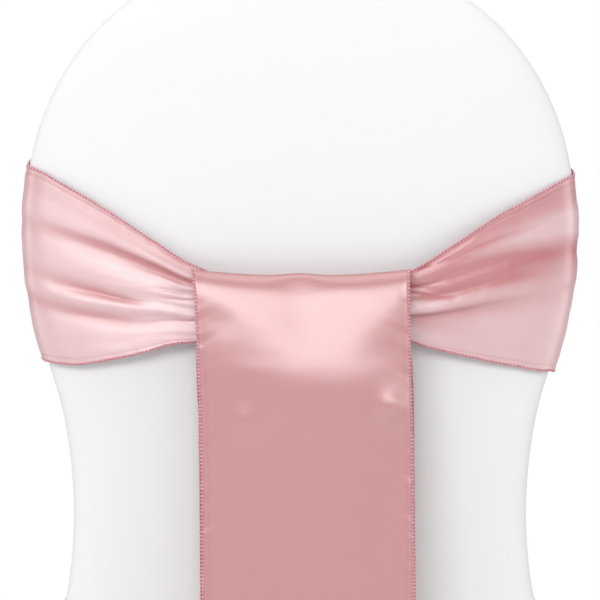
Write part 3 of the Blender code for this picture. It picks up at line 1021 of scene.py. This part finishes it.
    def build(self, satin: bpy.types.Material, overlock: Overlock) -> bpy.types.Object:
        """Make the cloth and its hems.

        Args:
            satin: The cloth's material.
            overlock: The hem that is sewn along its edges.

        Returns:
            The cloth's object.
        """
        points, spot, crease = self.surface()
        made = add_object("sash_wrap", cloth_mesh("sash_wrap", points, spot, crease), satin)
        give_wall(made, self.wall)
        normals = grid_normals(points)
        edges = [(points[:, row], normals[:, row]) for row in (0, -1)]
        hem = overlock.sew("sash_wrap_hem", edges)
        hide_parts("sash_wing_left", "sash_wing_right", "sash_band")
        finish_piece(made)
        finish_piece(hem)
        return made


def finish_piece(made: bpy.types.Object) -> None:
    """Let a piece ride on the chair.

    Args:
        made: The piece.
    """
    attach(made, BODY)
    LOG.info("%s: %d faces", made.name, len(made.data.polygons))


@dataclass
class HangingTail:
    """A tail of the sash, from the knot to its hem above the floor.

    Its bulge is fullest at one place across, from -1 to 1, and the smile says how much
    sooner it dies out toward the hems. Where the tail turns over the knot, its crest sags
    between the hems but for a small bump in the middle.
    """

    form: BackForm
    name: str
    node: str
    lines: tuple[TailLine, ...]
    dimples: tuple[Dimple, ...] = ()
    sway: float = 1.0
    seed: float = 0.0
    fullest: float = 0.0
    smile: float = 0.0
    sag: float = 0.0
    bump: float = 0.0
    bump_width: float = 15.0
    crest_rise: float = 18.0
    crest_end: float = 90.0
    crest_fall: float = 55.0
    bulge_power: float = 1.15
    width: float = 152.0
    wall: float = 0.7
    reference_height: float = 690.0
    rows: int = 70
    step: float = 2.6

    def dip(self, along: np.ndarray, side: np.ndarray, x: np.ndarray) -> np.ndarray:
        """How far the crest over the knot hangs down.

        Args:
            along: Length of cloth from the knot, in millimetres.
            side: Place across the tail, from -1 to 1.
            x: Distance from the chair's middle line, in millimetres.

        Returns:
            Drop at each place, in millimetres.
        """
        fall = smooth_step((self.crest_end - along) / self.crest_fall)
        crest = smooth_step(along / self.crest_rise) * fall
        crest *= 1.0 + 0.5 * smooth_step((along - 20.0) / 14.0)
        turned = 1.0 - 2.2 * smooth_step((along - 15.0) / 8.0)
        bump = self.bump * turned * np.exp(-((x / self.bump_width) ** 2))
        return (self.sag * (1.0 - side**2) - bump) * crest

    def surface(self) -> tuple[np.ndarray, np.ndarray, np.ndarray]:
        """Work out the cloth.

        Returns:
            Points in millimetres, places on the flat cut, and painted shade in the hem groove and
            puckers.
        """
        fine = np.linspace(0.0, len(self.lines) - 1.0, 4001)
        run = np.stack([blend(self.lines, None, c, fine) for c in ("height", "out")], axis=-1)
        length = np.concatenate([[0.0], np.cumsum(np.linalg.norm(np.diff(run, axis=0), axis=1))])
        places = np.linspace(0.0, length[-1], int(length[-1] / self.step) + 1)
        index = np.interp(places, length, fine)
        sides = np.linspace(-1.0, 1.0, self.rows + 1)
        key, side = np.meshgrid(index, sides, indexing="ij")
        along = np.broadcast_to(places[:, None], key.shape)
        values = {
            c: blend(self.lines, None, c, key) for c in ("height", "out", "spread", "middle")
        }
        x = values["middle"] + side * values["spread"] * self.width / 2
        reach = 1.0 + np.where(side < self.fullest, 1.0, -1.0) * self.fullest
        away = (side - self.fullest) / reach
        sooner = self.smile * away**2 * smooth_step((key - 4.0) / 3.0)
        bulge = blend(self.lines, None, "bulge", key + sooner)
        out = values["out"] + bulge * (1.0 - away**2) ** self.bulge_power
        spot = np.stack([along, (side + 1.0) * self.width / 2], axis=-1)
        free = smooth_step(along / 60.0)
        out = out + soft_noise(spot, (160.0, 60.0), self.seed) * self.sway * free
        edge = (1.0 - np.abs(side)) * self.width / 2
        pucker = soft_noise(spot + edge[..., None] * 0.6, (5.5, 60.0), self.seed + 3.0)
        pucker *= np.exp(-edge / 7.0) * free
        stitches = stitch_line(edge)
        out += 1.1 * pucker - 0.3 * stitches
        for dimple in self.dimples:
            away = np.hypot(x - dimple.x, values["height"] - dimple.height) / dimple.radius
            out += dimple.rise * np.exp(-(away**2))
        height = values["height"] - self.dip(along, side, x)
        depth = float(self.form.middle_at(np.array(self.reference_height))) - self.form.half_depth
        points = np.stack([x, depth - out, height], axis=-1)
        # Painted shade in the stitched groove inside the hem and in the puckers beside it.
        return points, spot, 0.5 * stitches + 0.3 * pucker

    def build(
        self, satin: bpy.types.Material, overlock: Overlock, rests_on: Sequence[str]
    ) -> bpy.types.Object:
        """Make the tail and its hem.

        Args:
            satin: The cloth's material.
            overlock: The hem that is sewn along its two sides and its end.
            rests_on: The pieces that carry it; not used.

        Returns:
            The tail's object.
        """
        points, spot, crease = self.surface()
        made = add_object(self.name, cloth_mesh(self.name, points, spot, crease), satin)
        give_wall(made, self.wall)
        normals = grid_normals(points)
        path = np.concatenate([points[:, 0], points[-1, 1:-1], points[::-1, -1]])
        facing = np.concatenate([normals[:, 0], normals[-1, 1:-1], normals[::-1, -1]])
        hem = overlock.sew(f"{self.name}_hem", [(path, facing)])
        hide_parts(self.node)
        finish_piece(made)
        finish_piece(hem)
        return made


@dataclass
class Knot:
    """The crossing under the folded tail: a short gathered roll of satin."""

    segments: int = 64
    columns: int = 60
    pleats: int = 7

    def build(self, satin: bpy.types.Material) -> bpy.types.Object:
        """Make the roll inside the node that it replaces.

        Args:
            satin: The cloth's material.

        Returns:
            The knot's object.
        """
        low, high = (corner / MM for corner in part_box("sash_knot"))
        middle, half = (low + high) / 2, (high - low) / 2
        along = np.linspace(-1.0, 1.0, self.columns + 1)
        angles = np.linspace(0.0, 2 * math.pi, self.segments, endpoint=False)
        side, angle = np.meshgrid(along, angles, indexing="ij")
        ends = np.sqrt(np.clip(1.0 - np.abs(side) ** 5, 0.0, 1.0)) * 0.93
        wander = side + 0.05 * np.sin(2 * angle + 1.0) + 0.03 * np.sin(3 * angle)
        pleat = 1.0 + 0.05 * np.sin(wander * self.pleats * math.pi) * (1.0 - side**4)
        radius = ends * pleat
        y = middle.y + half.y * radius * signed_power(np.cos(angle), 0.75)
        z = middle.z + half.z * radius * signed_power(np.sin(angle), 0.75)
        x = middle.x + half.x * side
        points = np.stack([x, y, z], axis=-1)
        mesh = tube_mesh("sash_knot_roll", points)
        around = angle * half.z
        spot = np.stack([x + half.x, around], axis=-1).reshape(-1, 2) * MM
        corners = [loop.vertex_index for loop in mesh.loops]
        mesh.uv_layers.new(name="cut").uv.foreach_set("vector", spot[corners].reshape(-1))
        made = add_object("sash_knot_roll", mesh, satin)
        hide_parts("sash_knot")
        finish_piece(made)
        return made


def grid_faces_around(columns: int, ring: int) -> list[tuple[int, ...]]:
    """Faces of a closed tube with its two ends capped.

    Args:
        columns: Number of rings.
        ring: Number of points in each ring.

    Returns:
        Corner numbers of each face.
    """
    faces: list[tuple[int, ...]] = [tuple(range(ring))]
    for column in range(columns - 1):
        for step in range(ring):
            here = column * ring + step
            beside = column * ring + (step + 1) % ring
            faces.append((here, here + ring, beside + ring, beside))
    faces.append(tuple(reversed(range((columns - 1) * ring, columns * ring))))
    return faces


def tube_mesh(name: str, points: np.ndarray) -> bpy.types.Mesh:
    """Closed smooth mesh through rings of points, with its two ends capped.

    Args:
        name: Name of the mesh.
        points: Points in millimetres, of shape (rings, points in a ring, 3).

    Returns:
        Mesh in metres.
    """
    mesh = bpy.data.meshes.new(name)
    faces = grid_faces_around(*points.shape[:2])
    mesh.from_pydata((points.reshape(-1, 3) * MM).tolist(), [], faces)
    mesh.shade_smooth()
    return mesh


def turn_outward(mesh: bpy.types.Mesh) -> None:
    """Turn a closed mesh's faces outward."""
    shape = bmesh.new()
    shape.from_mesh(mesh)
    bmesh.ops.recalc_face_normals(shape, faces=shape.faces)
    shape.to_mesh(mesh)
    shape.free()


def rounded_point(
    half: tuple[float, float], corner: float, side: int, share: float, bend: float, inset: float
) -> tuple[float, float]:
    """Point round a rounded rectangle with its middle at the origin.

    Args:
        half: Half its width and depth, in millimetres.
        corner: Radius of its corners.
        side: Number of the side, from 0 at the back, anticlockwise from above.
        share: Place along the side, from -1 to 1.
        bend: Turn into the corner at the side's end, in radians.
        inset: Distance inside the outline.

    Returns:
        The point's X and Y in millimetres.
    """
    run, reach = half[::-1] if side % 2 else half
    radius = max(corner - inset, 1.0)
    along = (run - corner) * share
    reach -= inset
    if share >= 1.0:
        along += radius * math.sin(bend)
        reach -= radius * (1.0 - math.cos(bend))
    turn = side * math.pi / 2
    return (
        along * math.cos(turn) + reach * math.sin(turn),
        along * math.sin(turn) - reach * math.cos(turn),
    )


@dataclass
class StretchCover:
    """White stretch cover of the chair: its back, its seat and its arched skirt.

    The skirt splays toward the floor, its arches rise to one height, and their fullness
    says how square they are. The seat has a rounded edge and a low crown.
    """

    form: BackForm
    segments: int = 160
    seat_half_width: float = 192.0
    seat_depth: float = 385.0
    seat_bottom: float = 398.0
    corner_top: float = 26.0
    corner_floor: float = 18.0
    splay_side: float = 24.0
    splay_back: float = 22.0
    splay_front: float = 31.0
    arch: float = 300.0
    fullness: float = 2.4
    lowest: float = 5.0
    wall: float = 1.0
    edge: float = 24.0
    crown: float = 5.0

    def build(self, knit: bpy.types.Material) -> None:
        """Make the cover's three parts."""
        self.build_back(knit)
        self.build_seat(knit)
        self.build_skirt(knit)

    def build_back(self, knit: bpy.types.Material) -> bpy.types.Object:
        """Make the padded crown back as one smooth closed form.

        Args:
            knit: The cover's material.

        Returns:
            The back's object.
        """
        low = np.linspace(self.form.bottom, self.form.widest_height, 60, endpoint=False)
        rise = np.sin(np.linspace(0.0, math.pi / 2, 60, endpoint=False))
        dome = self.form.widest_height + (self.form.crown - self.form.widest_height) * rise
        heights = np.concatenate([low, dome])
        turns = np.linspace(0.0, 4.0, self.segments, endpoint=False)
        turns = np.where(turns > 2.0, turns - 4.0, turns)
        height, turn = np.meshgrid(heights, turns, indexing="ij")
        points = self.form.section(turn, height, np.zeros_like(height))
        mesh = tube_mesh("cover_back", points)
        turn_outward(mesh)
        made = add_object("cover_back", mesh, knit)
        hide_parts("chair_back")
        finish_piece(made)
        return made

    def ring(self, height: float) -> tuple[float, float, float, float]:
        """Outline of the skirt at a height.

        Args:
            height: Height in millimetres.

        Returns:
            Half width, half depth, Y of the middle and radius of the corners.
        """
        fall = min(max((self.seat_bottom - height) / self.seat_bottom, 0.0), 1.0)
        back = -self.form.half_depth - self.splay_back * fall
        front = self.form.half_depth + self.seat_depth + self.splay_front * fall
        return (
            self.seat_half_width + self.splay_side * fall,
            (front - back) / 2,
            (front + back) / 2 + self.form.waist_y,
            self.corner_top + (self.corner_floor - self.corner_top) * fall,
        )

    def rim_point(self, place: tuple[int, float, float], height: float) -> list[float]:
        """Point in the middle of the skirt's cloth.

        Args:
            place: Number of the side, share along it and turn into its corner.
            height: Height in millimetres.

        Returns:
            The point's coordinates in millimetres.
        """
        half_width, half_depth, middle, corner = self.ring(height)
        x, y = rounded_point((half_width, half_depth), corner, *place, self.wall / 2)
        return [x, y + middle, height]

    def rim_places(
        self, side_steps: int, corner_steps: int, even: bool = False
    ) -> list[tuple[int, float, float]]:
        """Places round the chair.

        Args:
            side_steps: Number of places along each side.
            corner_steps: Number of places round each corner.
            even: Whether they are spaced alike, and not closer beside the feet.

        Returns:
            Number of the side, share along it and turn into its corner, for each place.
        """
        places = []
        for side in range(4):
            for step in range(side_steps):
                share = 2.0 * step / side_steps - 1.0
                places.append((side, share if even else math.sin(math.pi / 2 * share), 0.0))
            for step in range(corner_steps):
                places.append((side, 1.0, math.pi / 2 * step / corner_steps))
        return places

    def build_seat(self, knit: bpy.types.Material) -> bpy.types.Object:
        """Make the padded seat, slightly crowned, over the skirt's rim.

        Args:
            knit: The cover's material.

        Returns:
            The seat's object.
        """
        low, high = (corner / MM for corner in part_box("chair_seat"))
        middle, half = (low + high) / 2, (high - low) / 2
        levels = [(low.z, 0.0), (low.z + 20.0, 0.0)]
        levels += [
            (high.z - self.edge + self.edge * math.sin(a), self.edge * (1.0 - math.cos(a)))
            for a in np.linspace(0.0, math.pi / 2 * 0.92, 9)
        ]
        places = self.rim_places(24, 8, even=True)
        rings = []
        for z, inset in levels:
            rim = [rounded_point((half.x, half.y), self.corner_top, *p, inset) for p in places]
            rings.append([(x + middle.x, y + middle.y, z) for x, y in rim])
        rings += self.crown_rings(rings[-1], middle, high.z)
        mesh = tube_mesh("cover_seat", np.array(rings))
        turn_outward(mesh)
        made = add_object("cover_seat", mesh, knit)
        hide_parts("chair_seat")
        finish_piece(made)
        return made

    def crown_rings(
        self, rim: list[tuple[float, float, float]], middle: Vector, top: float
    ) -> list[list[tuple[float, float, float]]]:
        """Rings from the seat's rounded edge in to the middle of its crown.

        Args:
            rim: Last ring of the rounded edge.
            middle: Middle of the seat.
            top: Height at which the edge ends and the crown begins.

        Returns:
            The rings from the outermost to the innermost.
        """
        start = rim[0][2]
        rings = []
        for share in (0.94, 0.88, 0.8, 0.7, 0.58, 0.45, 0.32, 0.2, 0.1, 0.04):
            rise = (top - start) * smooth_step((1.0 - share) / 0.12)
            z = float(start + rise + self.crown * (1.0 - share**2))
            rings.append(
                [
                    (middle.x + (x - middle.x) * share, middle.y + (y - middle.y) * share, z)
                    for x, y, _ in rim
                ]
            )
        return rings

    def build_skirt(self, knit: bpy.types.Material) -> bpy.types.Object:
        """Make the skirt that is drawn down over the legs in four arches.

        Args:
            knit: The cover's material.

        Returns:
            The skirt's object.
        """
        rows = 30
        columns = []
        for place in self.rim_places(48, 10):
            rise = max(1.0 - abs(place[1]) ** self.fullness, 0.0) ** (1.0 / self.fullness)
            lowest = self.lowest + (self.arch - self.lowest) * rise
            heights = np.linspace(self.seat_bottom, lowest, rows + 1)
            columns.append([self.rim_point(place, z) for z in heights])
        points = np.array(columns)
        mesh = bpy.data.meshes.new("cover_skirt")
        faces = grid_faces(len(columns), rows + 1, closed=True)
        mesh.from_pydata((points.reshape(-1, 3) * MM).tolist(), [], [f[::-1] for f in faces])
        mesh.shade_smooth()
        made = add_object("cover_skirt", mesh, knit)
        give_wall(made, self.wall)
        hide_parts("chair_skirt")
        finish_piece(made)
        return made


@dataclass
class Legs:
    """The chair's four painted legs, whose ends stand out under the cover."""

    ends: tuple[str, ...] = ("back", "front")
    hands: tuple[str, ...] = ("left", "right")

    def dress(self, steel: bpy.types.Material) -> None:
        """Paint the legs as the model has them.

        Args:
            steel: The paint.
        """
        for end in self.ends:
            for hand in self.hands:
                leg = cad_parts[f"chair_leg_{end}_{hand}"]
                leg.data.materials.clear()
                leg.data.materials.append(steel)
                LOG.info("%s: painted", leg.name)


@dataclass(frozen=True)
class Lamp:
    """A rectangular soft light, in metres and watts."""

    name: str
    place: tuple[float, float, float]
    size: tuple[float, float]
    power: float


@dataclass
class Studio:
    """Pale floor, soft lights and the camera behind the chair, in metres."""

    distance: float = 3.6
    aim_height: float = 0.689
    eye_height: float = 0.70
    picture_width: float = 0.4338
    plane: float = -0.208
    floor_radius: float = 3.0
    floor_sides: int = 96
    surroundings: float = 0.56
    lamps: tuple[Lamp, ...] = (
        Lamp("key", (-0.62, -2.88, 1.91), (2.2, 1.15), 42.8),
        Lamp("left side", (-2.6, -0.9, 1.1), (0.8, 1.6), 7.0),
        Lamp("right side", (2.6, -1.1, 1.0), (1.0, 1.6), 10.5),
        Lamp("top", (0.0, -0.5, 2.9), (1.4, 1.4), 10.0),
        Lamp("far side", (0.7, 2.9, 1.9), (1.6, 1.6), 30.0),
    )

    def build(self) -> None:
        """Make the floor, the lights, the world and the camera."""
        self.make_floor()
        self.make_world()
        for lamp in self.lamps:
            self.make_light(lamp)
        self.make_camera()

    def make_floor(self) -> None:
        """Make the plain pale floor."""
        mesh = bpy.data.meshes.new("studio_floor")
        steps, radius = range(self.floor_sides), self.floor_radius
        around = [math.tau * step / self.floor_sides for step in steps]
        rim = [(radius * math.cos(a), radius * math.sin(a), 0.0) for a in around]
        mesh.from_pydata(rim, [], [tuple(steps)])
        finish = bpy.data.materials.new("pale floor")
        finish.use_nodes = True
        shader = finish.node_tree.nodes["Principled BSDF"]
        feed(shader, {"Base Color": (0.86, 0.86, 0.86, 1.0), "Roughness": 0.9})
        add_object("studio_floor", mesh, finish)

    def make_world(self) -> None:
        """White surroundings that light the chair more gently than they look."""
        world = bpy.data.worlds.new("studio")
        bpy.context.scene.world = world
        world.use_nodes = True
        add = partial(add_node, world.node_tree)
        nodes, white = world.node_tree.nodes, (1.0, 1.0, 1.0, 1.0)
        feed(nodes["Background"], {"Color": white})
        light = add("ShaderNodeBackground", {"Color": white, "Strength": self.surroundings})
        fed = {
            "Fac": add("ShaderNodeLightPath")["Is Camera Ray"],
            1: light["Background"],
            2: nodes["Background"].outputs["Background"],
        }
        mix = add("ShaderNodeMixShader", fed)
        feed(nodes["World Output"], {"Surface": mix["Shader"]})

    def make_light(self, lamp: Lamp) -> None:
        """Hang one light that points at the sash.

        Args:
            lamp: The light.
        """
        light = bpy.data.lights.new(lamp.name, "AREA")
        light.energy = lamp.power
        light.shape = "RECTANGLE"
        light.size, light.size_y = lamp.size
        made = bpy.data.objects.new(lamp.name, light)
        made.location = lamp.place
        self.aim(made)

    def aim(self, made: bpy.types.Object) -> None:
        """Turn a light or camera to the knot, and link it to the scene."""
        toward = Vector((0.0, self.plane, self.aim_height)) - made.location
        made.rotation_euler = toward.to_track_quat("-Z", "Y").to_euler()
        bpy.context.scene.collection.objects.link(made)

    def make_camera(self) -> None:
        """Point the camera at the knot from behind the chair."""
        lens = bpy.data.cameras.new("camera")
        lens.sensor_fit = "HORIZONTAL"
        lens.lens = lens.sensor_width * self.distance / self.picture_width
        lens.clip_end = 50.0
        made = bpy.data.objects.new("camera", lens)
        made.location = (0.0, self.plane - self.distance, self.eye_height)
        self.aim(made)
        bpy.context.scene.camera = made
        bpy.context.scene.view_settings.view_transform = "Standard"


OVER_LINES = (
    TailLine(700.8, 14.0, 0.395, 0.0, 0.0),
    TailLine(703.4, 15.6, 0.66, 0.0, 0.2),
    TailLine(706.4, 17.2, 0.9, 0.0, 0.4),
    TailLine(710.5, 20.5, 1.021, 0.6, 0.6),
    TailLine(709.5, 24.0, 1.015, 0.7, 0.8),
    TailLine(704.0, 27.9, 1.01, 0.9, 1.2),
    TailLine(697.0, 29.9, 1.006, 1.2, 2.0),
    TailLine(688.0, 31.0, 1.001, 1.5, 3.1),
    TailLine(677.0, 31.5, 0.997, 1.9, 4.9),
    TailLine(663.0, 31.8, 0.994, 2.3, 7.2),
    TailLine(650.0, 31.9, 0.993, 2.8, 9.3),
    TailLine(640.0, 31.9, 0.992, 3.1, 10.8),
    TailLine(629.0, 31.6, 0.991, 3.6, 12.0),
    TailLine(617.0, 31.1, 0.99, 4.0, 12.2),
    TailLine(600.0, 30.6, 0.99, 4.4, 11.0),
    TailLine(560.0, 29.5, 0.989, 5.3, 7.4),
    TailLine(480.0, 28.2, 0.989, 5.9, 3.2),
    TailLine(400.0, 27.6, 0.989, 6.3, 2.0),
    TailLine(200.0, 27.8, 0.99, 6.5, -0.5),
    TailLine(41.0, 28.5, 0.99, 6.5, -1.5),
)
UNDER_LINES = (
    TailLine(663.2, 13.0, 0.395, 0.0, 0.0),
    TailLine(661.6, 15.6, 0.75, 1.2, 0.5),
    TailLine(659.4, 17.6, 0.95, 2.0, 1.0),
    TailLine(656.0, 19.0, 0.99, 2.4, 1.0),
    TailLine(649.0, 20.2, 1.005, 2.8, 1.0),
    TailLine(638.0, 20.9, 1.009, 3.3, 1.0),
    TailLine(620.0, 21.3, 1.009, 3.9, 1.0),
    TailLine(586.0, 21.5, 1.004, 4.7, 1.0),
    TailLine(400.0, 21.5, 1.004, 6.0, 1.0),
    TailLine(47.0, 22.0, 1.004, 6.3, -1.0),
)


def main() -> None:
    """Build the cover, the sash and the studio, and log each piece's face count."""
    logging.basicConfig(level=logging.INFO, format="%(message)s")
    form = BackForm()
    satin = SATIN.build()
    knit = STRETCH.build()
    overlock = Overlock(finish=THREAD.build())
    StretchCover(form).build(knit)
    Legs().dress(SteelFinish().build())
    SashWrap(form).build(SATIN_PAINTED_LIGHTER.build(), overlock)
    Knot().build(satin)
    under = HangingTail(form, "tail_under", "sash_tail_under", UNDER_LINES, sway=0.8, seed=21.0)
    under.build(satin, overlock, ["sash_knot_roll"])
    over = HangingTail(
        form,
        "tail_over",
        "sash_tail_over",
        OVER_LINES,
        dimples=(
            Dimple(69.5, 612.5, 12.0, 6.0),
            Dimple(-39.0, 603.0, 12.0, 3.0),
            Dimple(-56.0, 676.0, 11.0, -0.8),
            Dimple(58.0, 652.0, 16.0, -1.0),
        ),
        sway=1.2,
        seed=11.0,
        fullest=0.32,
        smile=2.2,
        sag=5.5,
        bump=2.2,
    )
    over.build(satin, overlock, ["sash_knot_roll"])
    Studio().build()


if __name__ == "__main__":
    main()
